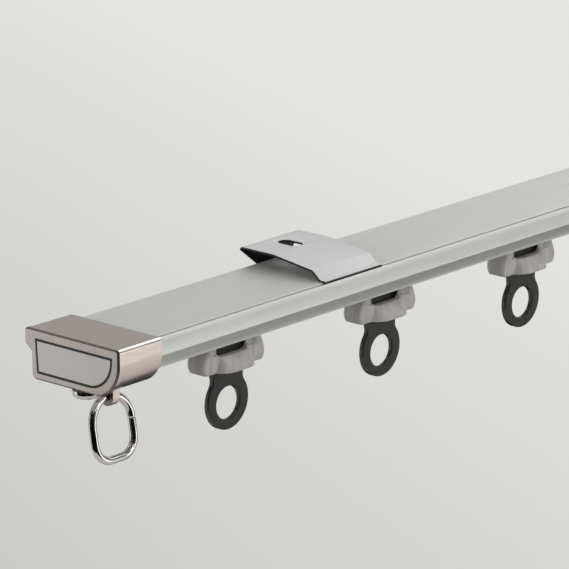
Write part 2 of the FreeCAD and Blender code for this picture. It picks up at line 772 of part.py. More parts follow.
def make_sleeve(label, x):
    """The moulded sleeve: end bumpers, thin windowed walls and a flared hollow skirt."""
    body = make_body(label, x=x, z=rail_top)
    top = s.rail_height + s.sleeve_gap
    low = s.sleeve_drop

    def oval(name, drop, half, width, radius):
        rim = make_sketch(body, name, "XY_Plane", -drop)
        add_rounded(rim, half, width / 2, radius)
        return rim

    def loft(kind, sketches):
        feature = body.newObject("PartDesign::" + kind, sketches[0].Label + "_loft")
        feature.Profile = sketches[0]
        feature.Sections = sketches[1:]
        feature.Ruled = False
        doc.recompute()
        body.Tip = feature

    # The bumpers at both ends bulge towards the rim and draw in at its edge.
    bulge = s.sleeve_bulge_drop
    waist = top + (bulge - top) / 2
    width = s.sleeve_end_width
    loft("AdditiveLoft", [
        oval("ends_top", top, s.sleeve_top_half, width, s.bumper_corner),
        oval("ends_waist", waist, s.sleeve_waist_half, width, s.bumper_corner),
        oval("ends_bulge", bulge, s.sleeve_half, width, s.bumper_corner),
        oval("ends_rim", low, s.sleeve_half - s.sleeve_rim_draw, width - s.sleeve_rim_draw,
             s.bumper_corner)])

    # Between the bumpers the walls are thin above the skirt; the bumpers slope down to them.
    waist_low = s.skirt_drop + s.sleeve_gap
    thin = make_sketch(body, "thin", "XY_Plane", -waist_low)
    inner = s.sleeve_neck_width / 2
    outer = s.sleeve_end_width
    flare = s.sleeve_neck_half + outer - inner
    for side in (1, -1):
        add_outline(thin, [
            (-s.sleeve_neck_half, inner * side),
            (-flare, outer * side),
            (flare, outer * side),
            (s.sleeve_neck_half, inner * side)])
    extrude(body, "Pocket", thin, waist_low - top + s.cut_past, reverse=True)

    # The skirt flares from the thin wall to a wide oval rim.
    loft("AdditiveLoft", [
        oval("skirt_top", s.skirt_drop, s.skirt_root_half, s.sleeve_neck_width,
             s.skirt_root_corner),
        oval("skirt_mid", s.skirt_mid_drop, s.skirt_mid_half, s.skirt_mid_width,
             s.skirt_mid_corner),
        oval("skirt_rim", low, s.skirt_half, s.skirt_width, s.skirt_corner)])
    wall = s.sleeve_wall
    loft("SubtractiveLoft", [
        oval("hollow_top", s.skirt_drop + wall, s.hollow_root_half, s.hollow_root_width,
             s.hollow_root_corner),
        oval("hollow_mid", s.skirt_mid_drop + wall, s.skirt_mid_half - wall,
             s.skirt_mid_width - wall * 2, s.skirt_mid_corner - wall),
        oval("hollow_rim", low + s.cut_past / 100, s.skirt_half - wall, s.skirt_width - wall * 2,
             s.skirt_corner - wall)])

    # A collar rides in the rail's slot.
    collar = make_sketch(body, "collar", "XY_Plane", -(top + s.collar_root))
    add_rounded(collar, s.collar_half, s.sleeve_neck_width / 2, s.collar_corner)
    extrude(body, "Pad", collar, s.sleeve_gap + s.collar_rise + s.collar_root)

    passage = make_sketch(body, "passage", "XY_Plane", -(top - s.sleeve_gap - s.cut_past * 2))
    add_rounded(passage, s.hanger_half + s.sleeve_slack, s.hanger_thick / 2 + s.sleeve_slack,
                s.sleeve_slack)
    extrude(body, "Pocket", passage, s.sleeve_drop)

    # Behind the window the passage widens to leave a thin wall.
    half = s.window_half
    head = s.skirt_drop - s.window_rise
    relief = make_sketch(body, "relief", "XZ_Plane")
    add_outline(relief, [
        (half, -head),
        (-half, -head),
        (-half, -(s.skirt_drop + s.window_sill)),
        (half, -(s.skirt_drop + s.window_sill))])
    extrude(body, "Pocket", relief, s.sleeve_neck_width - s.window_wall * 2, both_ways=True)

    # The window: square at one lower corner, rounded at the other.
    window = make_sketch(body, "window", "XZ_Plane")
    low_half = half - s.window_low_in
    add_outline(window, [
        (half - s.window_high_in, -head),
        (-half, -head),
        (-low_half, -s.skirt_drop),
        (low_half - s.window_corner, -s.skirt_drop),
        (half - s.window_side_in, -(s.skirt_drop - s.window_corner))], {3: s.window_bend})
    extrude(body, "Pocket", window, s.sleeve_neck_width + s.cut_past, both_ways=True)
    return body


def make_axle(label, x):
    """The axle pin with a flat head at each end."""
    body = make_body(label, x=x, z=rail_top + wheel_centre)
    tread_in = s.slot_half + s.wheel_clear
    reach = tread_in + s.wheel_width + s.side_play
    profile = make_sketch(body, "profile", "YZ_Plane")
    add_outline(profile, [
        (-reach - s.axle_head_thick, ZERO),
        (-reach - s.axle_head_thick, s.axle_head),
        (-reach, s.axle_head),
        (-reach, s.axle_radius),
        (reach, s.axle_radius),
        (reach, s.axle_head),
        (reach + s.axle_head_thick, s.axle_head),
        (reach + s.axle_head_thick, ZERO)])
    turned = body.newObject("PartDesign::Revolution", label + "_turned")
    turned.Profile = profile
    turned.ReferenceAxis = (profile, ["H_Axis"])
    turned.Angle = 360
    doc.recompute()
    body.Tip = turned
    return body


def make_wheel(label, x, side):
    """A wheel whose hub spaces the tread out to the shelf; side is -1 for the room side."""
    body = make_body(label, x=x, z=rail_top + wheel_centre)
    bore = s.axle_radius + s.wheel_slack
    hub_in = (s.hanger_thick / 2 + s.side_play) * side
    tread_in = (s.slot_half + s.wheel_clear) * side
    tread_out = tread_in + s.wheel_width * side
    edge = s.wheel_edge
    profile = make_sketch(body, "profile", "YZ_Plane")
    corners = [
        (hub_in, bore),
        (hub_in, s.wheel_hub),
        (tread_in, s.wheel_hub),
        (tread_in, s.wheel_radius - edge),
        (tread_in + edge * side, s.wheel_radius),
        (tread_out - edge * side, s.wheel_radius),
        (tread_out, s.wheel_radius - edge),
        (tread_out, bore)]
    add_outline(profile, corners, {3: -edge * side, 5: -edge * side})
    turned = body.newObject("PartDesign::Revolution", label + "_turned")
    turned.Profile = profile
    turned.ReferenceAxis = (profile, ["H_Axis"])
    turned.Angle = 360
    doc.recompute()
    body.Tip = turned
    return body


def mirror_piece(source, label):
    """The same piece at the other end: the section is not symmetric, so it is mirrored."""
    twin = doc.addObject("Part::Mirroring", label)
    twin.Label = label
    twin.Source = source
    twin.Normal = X_AXIS
    twin.Base = FreeCAD.Vector(0, 0, 0)
    return twin


# Assembly

pieces = [make_rail()]
for make, name in ((make_end_cap, "end_cap"), (make_cap_screw, "cap_screw"),
                   (make_end_ring, "end_ring")):
    left = make("left_" + name)
    pieces += [left, mirror_piece(left, "right_" + name)]
clip_place = s.rail_length / 2 - s.clip_margin
pieces.append(make_clip("left_clip", -clip_place))
pieces.append(make_clip("right_clip", clip_place))
glider_reach = s.rail_length / 2 - s.glider_margin
for number in range(GLIDERS):
    place = glider_reach * (number * 2 / (GLIDERS - 1) - 1)
    name = "glider_%d_" % (number + 1)
    pieces.append(make_sleeve(name + "sleeve", place))
    pieces.append(make_hanger(name + "hanger", place))
    pieces.append(make_axle(name + "axle", place))
    pieces.append(make_wheel(name + "room_wheel", place, -1))
    pieces.append(make_wheel(name + "wall_wheel", place, 1))
doc.recompute()

# Checks before anything is written
for item in doc.Objects:
    if "Invalid" in item.State or "Error" in item.State:
        raise ValueError("%s is not valid" % item.Label)
for piece in pieces:
    if piece.Shape.isNull() or not piece.Shape.isValid() or len(piece.Shape.Solids) != 1:
        raise ValueError("%s has a faulty shape" % piece.Label)

os.makedirs("parts", exist_ok=True)
for piece in pieces:
    piece.Shape.exportStep("parts/%s.step" % piece.Label)
    print("%-22s %9.2f mm3" % (piece.Label, piece.Shape.Volume))
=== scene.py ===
import json
import math

import bpy
from mathutils import Matrix, Vector


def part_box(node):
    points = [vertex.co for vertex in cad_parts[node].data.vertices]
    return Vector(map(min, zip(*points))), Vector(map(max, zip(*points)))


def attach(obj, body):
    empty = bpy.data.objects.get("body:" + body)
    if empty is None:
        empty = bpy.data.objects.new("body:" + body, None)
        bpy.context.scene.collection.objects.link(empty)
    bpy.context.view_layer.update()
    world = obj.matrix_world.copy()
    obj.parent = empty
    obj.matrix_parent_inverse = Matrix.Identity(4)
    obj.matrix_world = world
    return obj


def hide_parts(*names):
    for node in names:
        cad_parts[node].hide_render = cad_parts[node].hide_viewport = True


# Ceiling curtain track: anodised rail, plated end caps with screw and ring, white clips and
# gliders with frosted sleeves and dark eyed plates. Metres, in the track's own frame.

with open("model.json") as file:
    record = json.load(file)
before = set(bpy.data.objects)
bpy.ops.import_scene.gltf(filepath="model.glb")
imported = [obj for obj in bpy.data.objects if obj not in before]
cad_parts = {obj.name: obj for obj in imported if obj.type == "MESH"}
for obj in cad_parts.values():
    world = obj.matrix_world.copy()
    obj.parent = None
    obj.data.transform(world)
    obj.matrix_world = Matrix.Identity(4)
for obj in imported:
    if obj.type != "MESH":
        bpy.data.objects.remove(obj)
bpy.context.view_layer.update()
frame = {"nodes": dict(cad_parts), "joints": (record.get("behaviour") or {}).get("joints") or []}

MM = 0.001
SIDES = ("left", "right")
GLIDERS = range(1, 6)

rail_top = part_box("rail")[1].z
cap_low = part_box("left_end_cap")[0]
cap_face = abs(cap_low.x)
screw_low, screw_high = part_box("left_cap_screw")
ring_low, ring_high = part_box("left_end_ring")

# Place of the camera, from the near upper corner of the track
VIEW_YAW = math.radians(48.665)
VIEW_PITCH = math.radians(16.059)
VIEW_ROLL = math.radians(-0.0118)
VIEW_RIGHT = -55.4 * MM
VIEW_UP = -14.8 * MM
VIEW_AHEAD = 1009.8 * MM
LENS = 247.6

# Directions as the camera stands: level to its right, level ahead and upwards; and the point
# that the lights aim at
RIGHTWARDS = Vector((math.cos(VIEW_YAW), -math.sin(VIEW_YAW), 0))
AHEAD = Vector((math.sin(VIEW_YAW), math.cos(VIEW_YAW), 0))
SKY = Vector((0, 0, 1))
AIM = Vector((-0.09, 0, -0.015))

# Ring: radius of the wire, half width and height between the wire's middles, radius of the
# corners, gap between the wire's ends, and how far the ring hangs from plumb
WIRE = 1.1 * MM
RING_HALF = 7.3 * MM
RING_HEIGHT = 16.9 * MM
RING_CORNER = 5.2 * MM
RING_JOINT = 0.3 * MM
RING_SWING = math.radians(-10)

# Screw: height of the head, depth of its dome, half length, width and depth of the cross
# recess, and radius of the shank
HEAD_RISE = 2.2 * MM
HEAD_DOME = 1.5 * MM
RECESS_ARM = 1.9 * MM
RECESS_WIDTH = 0.7 * MM
RECESS_DEPTH = 0.8 * MM
SHANK = 2.0 * MM

# Cap: depth of the frame groove, how far from half of it the middles of its walls lie at most,
# thickness of its enamel, depth of the rounded front that carries a painted dark reflection, width
# of the black line round the plate, and distance from the plate down to the lug, whose front
# carries painted shade
GROOVE_DEPTH = 0.35 * MM
GROOVE_WALL = GROOVE_DEPTH * 0.3
ENAMEL = 0.3 * MM
FRONT_ROUND = 0.62 * MM
FRAME_LINE = 0.22 * MM
LUG_ROOT = 1.8 * MM

# Clip: how far towards the wall its fold and its outer wall begin, and how far below the
# ceiling the inside of the fold lies, where the strap has painted shade
CLIP_FOLD = 9 * MM
CLIP_WALL = 14 * MM
CLIP_INSIDE = 1.2 * MM

# Sleeve: the window's sides from the sleeve's middle, its sill and head from the ceiling, its
# round corner and the depth of the cut
WINDOW_LEFT = -6.6 * MM
WINDOW_RIGHT = 5.3 * MM
WINDOW_LOW = -20.75 * MM
WINDOW_HIGH = -17.6 * MM
WINDOW_ROUND = 1.9 * MM
WINDOW_THROUGH = 9 * MM

# Widths of the softened edges
RAIL_EDGE = 0.12 * MM
CAP_EDGE = 0.16 * MM
SCREW_EDGE = 0.06 * MM
WIRE_EDGE = 0.18 * MM
CLIP_EDGE = 0.12 * MM
SLEEVE_EDGE = 0.3 * MM
PLATE_EDGE = 0.15 * MM

# Floor: how far below the rail's top it lies, its radius, and the share of its tone that
# doesn't depend on the lights
FLOOR_DROP = 330 * MM
FLOOR_REACH = 9.0
FLOOR_GLOW = 0.85

# Distances that count as none: between two points, and from a face to a plane
TOUCH = 0.002 * MM
IN_PLANE = 0.02 * MM

# How much of a face's normal lies along an axis: less than this for a face that is edge on,
# between these for a rounding, and more than these for one that slopes up, is turned or is
# flat on
EDGE_ON = 0.1
ROUNDED = (0.12, 0.97)
SLOPES_UP = 0.25
TURNED = 0.5
FLAT_ON = 0.9

# Grain: limits within which most of its noise lies, and its finer layers
GRAIN_LOW = 0.3
GRAIN_HIGH = 0.7
GRAIN_DETAIL = 3.0


# Working steps

def pick(piece):
    """Make one object the only selected one and the active one."""
    bpy.ops.object.select_all(action="DESELECT")
    piece.select_set(True)
    bpy.context.view_layer.objects.active = piece


def added(name):
    """Name the primitive that was just added and hand it back."""
    piece = bpy.context.active_object
    piece.name = name
    piece.data.name = name
    return piece


def settle(piece):
    """Put the object's place into its mesh."""
    pick(piece)
    bpy.ops.object.transform_apply(location=True, rotation=True, scale=True)


def tidy(piece):
    """Merge doubles and turn every face outwards."""
    pick(piece)
    bpy.ops.object.mode_set(mode="EDIT")
    bpy.ops.mesh.select_all(action="SELECT")
    bpy.ops.mesh.remove_doubles(threshold=TOUCH)
    bpy.ops.mesh.normals_make_consistent(inside=False)
    bpy.ops.object.mode_set(mode="OBJECT")


def smooth(piece, degrees):
    """Shade smooth over every edge flatter than the angle."""
    pick(piece)
    bpy.ops.object.shade_smooth_by_angle(angle=math.radians(degrees))


def keep_flat(piece):
    """Let the broad faces set the shading, so that only the narrow edges turn the light."""
    pick(piece)
    weighting = piece.modifiers.new("broad_faces", "WEIGHTED_NORMAL")
    weighting.keep_sharp = True
    bpy.ops.object.modifier_apply(modifier=weighting.name)


def round_edges(piece, width, segments, degrees):
    """A bevel along every edge sharper than the angle, applied."""
    pick(piece)
    bevel = piece.modifiers.new("edges", "BEVEL")
    bevel.width = width
    bevel.segments = segments
    bevel.limit_method = "ANGLE"
    bevel.angle_limit = math.radians(degrees)
    bevel.miter_outer = "MITER_ARC"
    bpy.ops.object.modifier_apply(modifier=bevel.name)


def finished_copy(node, name):
    """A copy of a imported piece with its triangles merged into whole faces."""
    source = frame["nodes"][node]
    piece = bpy.data.objects.new(name, source.data.copy())
    bpy.context.scene.collection.objects.link(piece)
    pick(piece)
    bpy.ops.mesh.customdata_custom_splitnormals_clear()
    piece.data.materials.clear()
    bpy.ops.object.mode_set(mode="EDIT")
    bpy.ops.mesh.select_all(action="SELECT")
    bpy.ops.mesh.remove_doubles(threshold=TOUCH)
    bpy.ops.mesh.dissolve_limited(angle_limit=math.radians(1))
    bpy.ops.object.mode_set(mode="OBJECT")
    return piece


def fit(piece, node, body):
    """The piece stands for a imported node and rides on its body."""
    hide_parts(node)
    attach(piece, body)


def choose_none(piece, kind):
    """Leave none of the piece's faces or edges selected."""
    pick(piece)
    bpy.ops.object.mode_set(mode="EDIT")
    bpy.ops.mesh.select_mode(type=kind)
    bpy.ops.mesh.select_all(action="DESELECT")
    bpy.ops.object.mode_set(mode="OBJECT")


def choose_faces(piece, wanted):
    """Select the faces that pass the test; the piece stays in edit mode."""
    choose_none(piece, "FACE")
    for face in piece.data.polygons:
        face.select = wanted(face)
    bpy.ops.object.mode_set(mode="EDIT")


def choose_edges(piece, wanted):
    """Select the edges that pass the test; the piece stays in edit mode."""
    choose_none(piece, "EDGE")
    for edge in piece.data.edges:
        edge.select = wanted([piece.data.vertices[number].co for number in edge.vertices])
    bpy.ops.object.mode_set(mode="EDIT")


def extend(*way):
    """Draw the selected faces out by the way given; the piece is in edit mode."""
    bpy.ops.mesh.extrude_region_move(TRANSFORM_OT_translate={"value": way})


def coat(piece, finish, wanted=None):
    """Give the piece a finish, or only those of its faces that pass the test."""
    piece.data.materials.append(finish)
    if wanted is None:
        return
    for face in piece.data.polygons:
        if wanted(face):
            face.material_index = len(piece.data.materials) - 1


def cut(piece, cutter):
    """Cut one closed mesh out of another and remove the cutter."""
    pick(piece)
    boolean = piece.modifiers.new("cut", "BOOLEAN")
    boolean.operation = "DIFFERENCE"
    boolean.solver = "EXACT"
    boolean.object = cutter
    bpy.ops.object.modifier_apply(modifier=boolean.name)
    bpy.data.objects.remove(cutter)


def twin(piece, name):
    """The same piece mirrored to the other end of the track."""
    other = bpy.data.objects.new(name, piece.data.copy())
    bpy.context.scene.collection.objects.link(other)
    pick(other)
    other.scale.x = -1
    bpy.ops.object.transform_apply(location=False, rotation=False, scale=True)
    tidy(other)
    return other


# Materials

def new_material(name):
    """A material with its principled shader."""
    material = bpy.data.materials.new(name)
    material.use_nodes = True
    shader = material.node_tree.nodes["Principled BSDF"]
    return material, shader


def node(owner, kind, **values):
    """One shader node of a material or of the world, with its settings."""
    made = owner.node_tree.nodes.new(kind)
    for key, value in values.items():
        setattr(made, key, value)
    return made


def join(owner, start, end):
    """Link one socket to another in a material or in the world."""
    owner.node_tree.links.new(start, end)


def grain(material, stretch, scale):
    """Noise on object coordinates, stretched so that it forms streaks or an even speckle."""
    place = node(material, "ShaderNodeTexCoord")
    mapping = node(material, "ShaderNodeMapping")
    mapping.inputs["Scale"].default_value = stretch
    noise = node(material, "ShaderNodeTexNoise")
    noise.inputs["Scale"].default_value = scale
    noise.inputs["Detail"].default_value = GRAIN_DETAIL
    join(material, place.outputs["Object"], mapping.inputs["Vector"])
    join(material, mapping.outputs["Vector"], noise.inputs["Vector"])
    return noise.outputs["Fac"]


def between(material, factor, low, high, target):
    """Feed a socket with a value that varies between two limits."""
    scaled = node(material, "ShaderNodeMapRange")
    scaled.inputs["From Min"].default_value = GRAIN_LOW
    scaled.inputs["From Max"].default_value = GRAIN_HIGH
    scaled.inputs["To Min"].default_value = low
    scaled.inputs["To Max"].default_value = high
    join(material, factor, scaled.inputs["Value"])
    join(material, scaled.outputs["Result"], target)


def tint(material, factor, dark, light, target):
    """Feed a colour socket with a mix of two close colours."""
    ramp = node(material, "ShaderNodeValToRGB")
    ramp.color_ramp.elements[0].position = GRAIN_LOW
    ramp.color_ramp.elements[0].color = (*dark, 1)
    ramp.color_ramp.elements[1].position = GRAIN_HIGH
    ramp.color_ramp.elements[1].color = (*light, 1)
    join(material, factor, ramp.inputs["Fac"])
    join(material, ramp.outputs["Color"], target)


def relief(material, factor, strength, distance, shader):
    """A fine bump from the grain."""
    bump = node(material, "ShaderNodeBump")
    bump.inputs["Strength"].default_value = strength
    bump.inputs["Distance"].default_value = distance
    join(material, factor, bump.inputs["Height"])
    join(material, bump.outputs["Normal"], shader.inputs["Normal"])


def make_anodised():
    """Satin anodised aluminium with faint lines along the extrusion."""
    material, shader = new_material("anodised_aluminium")
    shader.inputs["Metallic"].default_value = 0.4
    lines = grain(material, (0.02, 1, 1), 2600)
    tint(material, lines, (0.652, 0.659, 0.627), (0.692, 0.7, 0.667), shader.inputs["Base Color"])
    between(material, lines, 0.34, 0.42, shader.inputs["Roughness"])
    relief(material, lines, 0.06, 0.00002, shader)
    return material


def make_plated(name, dark, light, stretch, rough):
    """Pearl nickel plating, brushed or blasted."""
    material, shader = new_material(name)
    shader.inputs["Metallic"].default_value = 0.85
    brushing = grain(material, stretch, 2400)
    tint(material, brushing, dark, light, shader.inputs["Base Color"])
    between(material, brushing, rough - 0.05, rough + 0.06, shader.inputs["Roughness"])
    relief(material, brushing, 0.05, 0.00002, shader)
    return material


def make_bright_metal(name, colour, rough):
    """Polished plated metal with faint unevenness in its gloss."""
    material, shader = new_material(name)
    shader.inputs["Metallic"].default_value = 1.0
    shader.inputs["Base Color"].default_value = (*colour, 1)
    clouds = grain(material, (1, 1, 1), 500)
    between(material, clouds, rough, rough + 0.05, shader.inputs["Roughness"])
    return material


def make_white_paint():
    """Semi-gloss white stove paint with a slight orange peel."""
    material, shader = new_material("white_paint")
    peel = grain(material, (1, 1, 1), 900)
    tint(material, peel, (0.55, 0.55, 0.55), (0.575, 0.575, 0.575), shader.inputs["Base Color"])
    shader.inputs["Roughness"].default_value = 0.48
    shader.inputs["Coat Weight"].default_value = 0.05
    shader.inputs["Coat Roughness"].default_value = 0.25
    relief(material, peel, 0.08, 0.00005, shader)
    return material


def make_painted_shade_steel():
    """Dark steel tone for the clip's cut edges, undersides and the inside of its fold: painted
    shade where the strap keeps the light off.
    """
    material, shader = new_material("painted_shade_steel")
    shader.inputs["Metallic"].default_value = 0.6
    scratches = grain(material, (0.15, 1, 1), 1800)
    tint(material, scratches, (0.012, 0.012, 0.012), (0.035, 0.034, 0.033),
         shader.inputs["Base Color"])
    between(material, scratches, 0.3, 0.45, shader.inputs["Roughness"])
    return material


def make_frosted_plastic():
    """Translucent moulded plastic, cloudy, with faint flow lines downwards."""
    material, shader = new_material("frosted_plastic")
    clouds = grain(material, (1, 1, 0.08), 520)
    tint(material, clouds, (0.5, 0.472, 0.455), (0.69, 0.66, 0.64), shader.inputs["Base Color"])
    between(material, clouds, 0.4, 0.5, shader.inputs["Roughness"])
    shader.inputs["Transmission Weight"].default_value = 0.15
    shader.inputs["Subsurface Weight"].default_value = 0.7
    shader.inputs["Subsurface Radius"].default_value = (0.003, 0.003, 0.003)
    shader.inputs["Subsurface Scale"].default_value = 1.0
    shader.inputs["IOR"].default_value = 1.48
    shader.inputs["Specular IOR Level"].default_value = 0.3
    return material


def make_dark_steel():
    """Dark coated steel plate with a fine even grain."""
    material, shader = new_material("dark_steel")
    shader.inputs["Metallic"].default_value = 0.3
    speckle = grain(material, (1, 1, 1), 2200)
    tint(material, speckle, (0.023, 0.022, 0.021), (0.032, 0.031, 0.030),
         shader.inputs["Base Color"])
    between(material, speckle, 0.45, 0.55, shader.inputs["Roughness"])
    relief(material, speckle, 0.1, 0.00003, shader)
    return material


def make_painted_dark_edge():
    """The sheared edge of the plate: the same coating, smoother, and blacker as a painted dark
    reflection.
    """
    material, shader = new_material("painted_dark_edge")
    speckle = grain(material, (1, 1, 0.4), 1400)
    tint(material, speckle, (0.004, 0.004, 0.004), (0.010, 0.010, 0.010),
         shader.inputs["Base Color"])
    between(material, speckle, 0.2, 0.28, shader.inputs["Roughness"])
    shader.inputs["Specular IOR Level"].default_value = 0.7
    return material


def make_enamel():
    """Black enamel with a little dust in its tone."""
    material, shader = new_material("black_enamel")
    dust = grain(material, (1, 1, 1), 1500)
    tint(material, dust, (0.004, 0.004, 0.004), (0.009, 0.008, 0.008), shader.inputs["Base Color"])
    shader.inputs["Roughness"].default_value = 0.35
    return material


def make_wheel_plastic():
    """Pale smooth plastic of the wheels."""
    material, shader = new_material("wheel_plastic")
    clouds = grain(material, (1, 1, 1), 700)
    tint(material, clouds, (0.62, 0.61, 0.58), (0.68, 0.67, 0.64), shader.inputs["Base Color"])
    shader.inputs["Roughness"].default_value = 0.4
    return material


def make_black_cloth():
    """Black cloth on the cards."""
    material, shader = new_material("black_cloth")
    weave = grain(material, (1, 1, 1), 300)
    tint(material, weave, (0.004, 0.004, 0.004), (0.006, 0.006, 0.006), shader.inputs["Base Color"])
    shader.inputs["Roughness"].default_value = 0.9
    shader.inputs["Specular IOR Level"].default_value = 0.0
    return material


anodised = make_anodised()
brushed_plating = make_plated(
    "brushed_plating", (0.68, 0.59, 0.54), (0.74, 0.64, 0.585), (0.1, 1, 1), 0.19)
# Dark plating that is painted: a dark reflection on the caps' rounded front, shade on the lugs'
# fronts
painted_dark_plating = make_plated(
    "painted_dark_plating", (0.15, 0.13, 0.12), (0.2, 0.175, 0.165), (0.1, 1, 1), 0.2)
# Satin plating for the caps' face, its darker tone painted shade
painted_shade_satin = make_plated(
    "painted_shade_satin", (0.41, 0.37, 0.35), (0.46, 0.416, 0.394), (0.12, 0.12, 0.12), 0.24)
blasted_plating = make_plated(
    "blasted_plating", (0.56, 0.54, 0.53), (0.62, 0.60, 0.59), (1, 0.2, 1), 0.38)
bright_wire = make_bright_metal("bright_wire", (0.7, 0.68, 0.66), 0.05)
bright_screw = make_bright_metal("bright_screw", (0.72, 0.68, 0.66), 0.08)
axle_steel = make_bright_metal("axle_steel", (0.55, 0.55, 0.55), 0.3)
white_paint = make_white_paint()
frosted_plastic = make_frosted_plastic()
dark_steel = make_dark_steel()
painted_dark_edge = make_painted_dark_edge()
painted_shade_steel = make_painted_shade_steel()
black_enamel = make_enamel()
wheel_plastic = make_wheel_plastic()
black_cloth = make_black_cloth()


# Rail

def make_rail():
    """The extrusion, with the small radius that every extruded edge has."""
    piece = finished_copy("rail", "aluminium_rail")
    coat(piece, anodised)
    round_edges(piece, RAIL_EDGE, segments=2, degrees=28)
    smooth(piece, degrees=55)
    keep_flat(piece)
    fit(piece, "rail", "track")


# End caps

def find_plate(piece, front_x):
    """The plate inside the frame: the largest of the faces in the cap's front plane."""
    front = [face for face in piece.data.polygons if abs(face.center.x - front_x) < IN_PLANE]
    return max(front, key=lambda face: face.area)


def make_cap(side, sign):
    """The cast cap: softened edges, a satin face with painted shade, a black line and a blasted
    plate inside it, a painted dark reflection on the rounded front and painted shade on the lug's
    front.
    """
    piece = finished_copy(side + "_end_cap", side + "_cast_cap")
    front_x = cap_face * sign
    plate = find_plate(piece, front_x)
    plate_low = min(piece.data.vertices[corner].co.z for corner in plate.vertices)
    plate_index = plate.index
    groove = cap_face - GROOVE_DEPTH / 2
    coat(piece, brushed_plating)
    # The face's satin plating is darker than the rest as painted shade
    coat(piece, painted_shade_satin, lambda face: abs(face.center.x - front_x) < IN_PLANE)
    coat(piece, black_enamel, lambda face: face.index == plate_index)
    choose_faces(piece, lambda face: face.index == plate_index)
    bpy.ops.mesh.inset(thickness=FRAME_LINE)
    bpy.ops.object.mode_set(mode="OBJECT")
    plate_index = find_plate(piece, front_x).index
    coat(piece, blasted_plating, lambda face: face.index == plate_index)
    coat(piece, black_enamel, lambda face: abs(abs(face.center.x) - groove) < GROOVE_WALL
         and abs(face.normal.x) < EDGE_ON)
    # Painted dark reflection on the rounded front edge
    coat(piece, painted_dark_plating, lambda face: abs(face.center.x) > cap_face - FRONT_ROUND
         and ROUNDED[0] < abs(face.normal.x) < ROUNDED[1])
    # Painted shade on the front of the lug
    coat(piece, painted_dark_plating, lambda face: face.center.z < plate_low - LUG_ROOT
         and face.normal.x * sign > TURNED)
    round_edges(piece, CAP_EDGE, segments=3, degrees=30)
    smooth(piece, degrees=35)
    keep_flat(piece)
    fit(piece, side + "_end_cap", "track")


def make_frame_enamel(side, sign):
    """Black enamel that fills the frame groove nearly to its brim."""
    piece = finished_copy(side + "_end_cap", side + "_frame_enamel")
    floor_x = (cap_face - GROOVE_DEPTH) * sign
    choose_faces(piece, lambda face: abs(face.center.x - floor_x) > IN_PLANE
                 or abs(face.normal.x) < FLAT_ON)
    bpy.ops.mesh.delete(type="FACE")
    bpy.ops.mesh.select_all(action="SELECT")
    extend(ENAMEL * sign, 0, 0)
    bpy.ops.mesh.select_all(action="SELECT")
    bpy.ops.mesh.normals_make_consistent(inside=False)
    bpy.ops.object.mode_set(mode="OBJECT")
    coat(piece, black_enamel)
    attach(piece, "track")


def make_screw():
    """Pan-head screw: a domed head with a cross recess under the cap."""
    middle = (screw_low + screw_high) / 2
    seat = screw_low.z + HEAD_RISE
    head = (screw_high.x - screw_low.x) / 2
    bpy.ops.object.select_all(action="DESELECT")
    bpy.ops.mesh.primitive_cylinder_add(
        vertices=64, radius=head, depth=HEAD_RISE,
        location=(middle.x, middle.y, seat - HEAD_RISE / 2))
    piece = added("left_pan_head_screw")
    settle(piece)
    choose_edges(piece, lambda ends: max(end.z for end in ends) < screw_low.z + TOUCH)
    bpy.ops.mesh.bevel(offset=HEAD_DOME, segments=10, profile=0.5, affect="EDGES")
    bpy.ops.object.mode_set(mode="OBJECT")
    choose_faces(piece, lambda face: face.center.z > seat - TOUCH)
    bpy.ops.mesh.inset(thickness=head - SHANK)
    extend(0, 0, screw_high.z - seat)
    bpy.ops.object.mode_set(mode="OBJECT")
    for length, width in ((RECESS_ARM * 2, RECESS_WIDTH), (RECESS_WIDTH, RECESS_ARM * 2)):
        bpy.ops.object.select_all(action="DESELECT")
        bpy.ops.mesh.primitive_cube_add(size=1, location=(middle.x, middle.y, screw_low.z))
        bar = added("cross")
        bar.scale = (length, width, RECESS_DEPTH * 2)
        settle(bar)
        cut(piece, bar)
    tidy(piece)
    coat(piece, bright_screw)
    other = twin(piece, "right_pan_head_screw")
    for side, screw in zip(SIDES, (piece, other)):
        round_edges(screw, SCREW_EDGE, segments=2, degrees=40)
        smooth(screw, degrees=35)
        fit(screw, side + "_cap_screw", "track")


def bend(steps, angle, x, z):
    """Swing the wire's end round a line across the track; the piece is in edit mode."""
    bpy.ops.mesh.spin(steps=steps, angle=-angle, axis=(0, 1, 0), center=(x, 0, z))


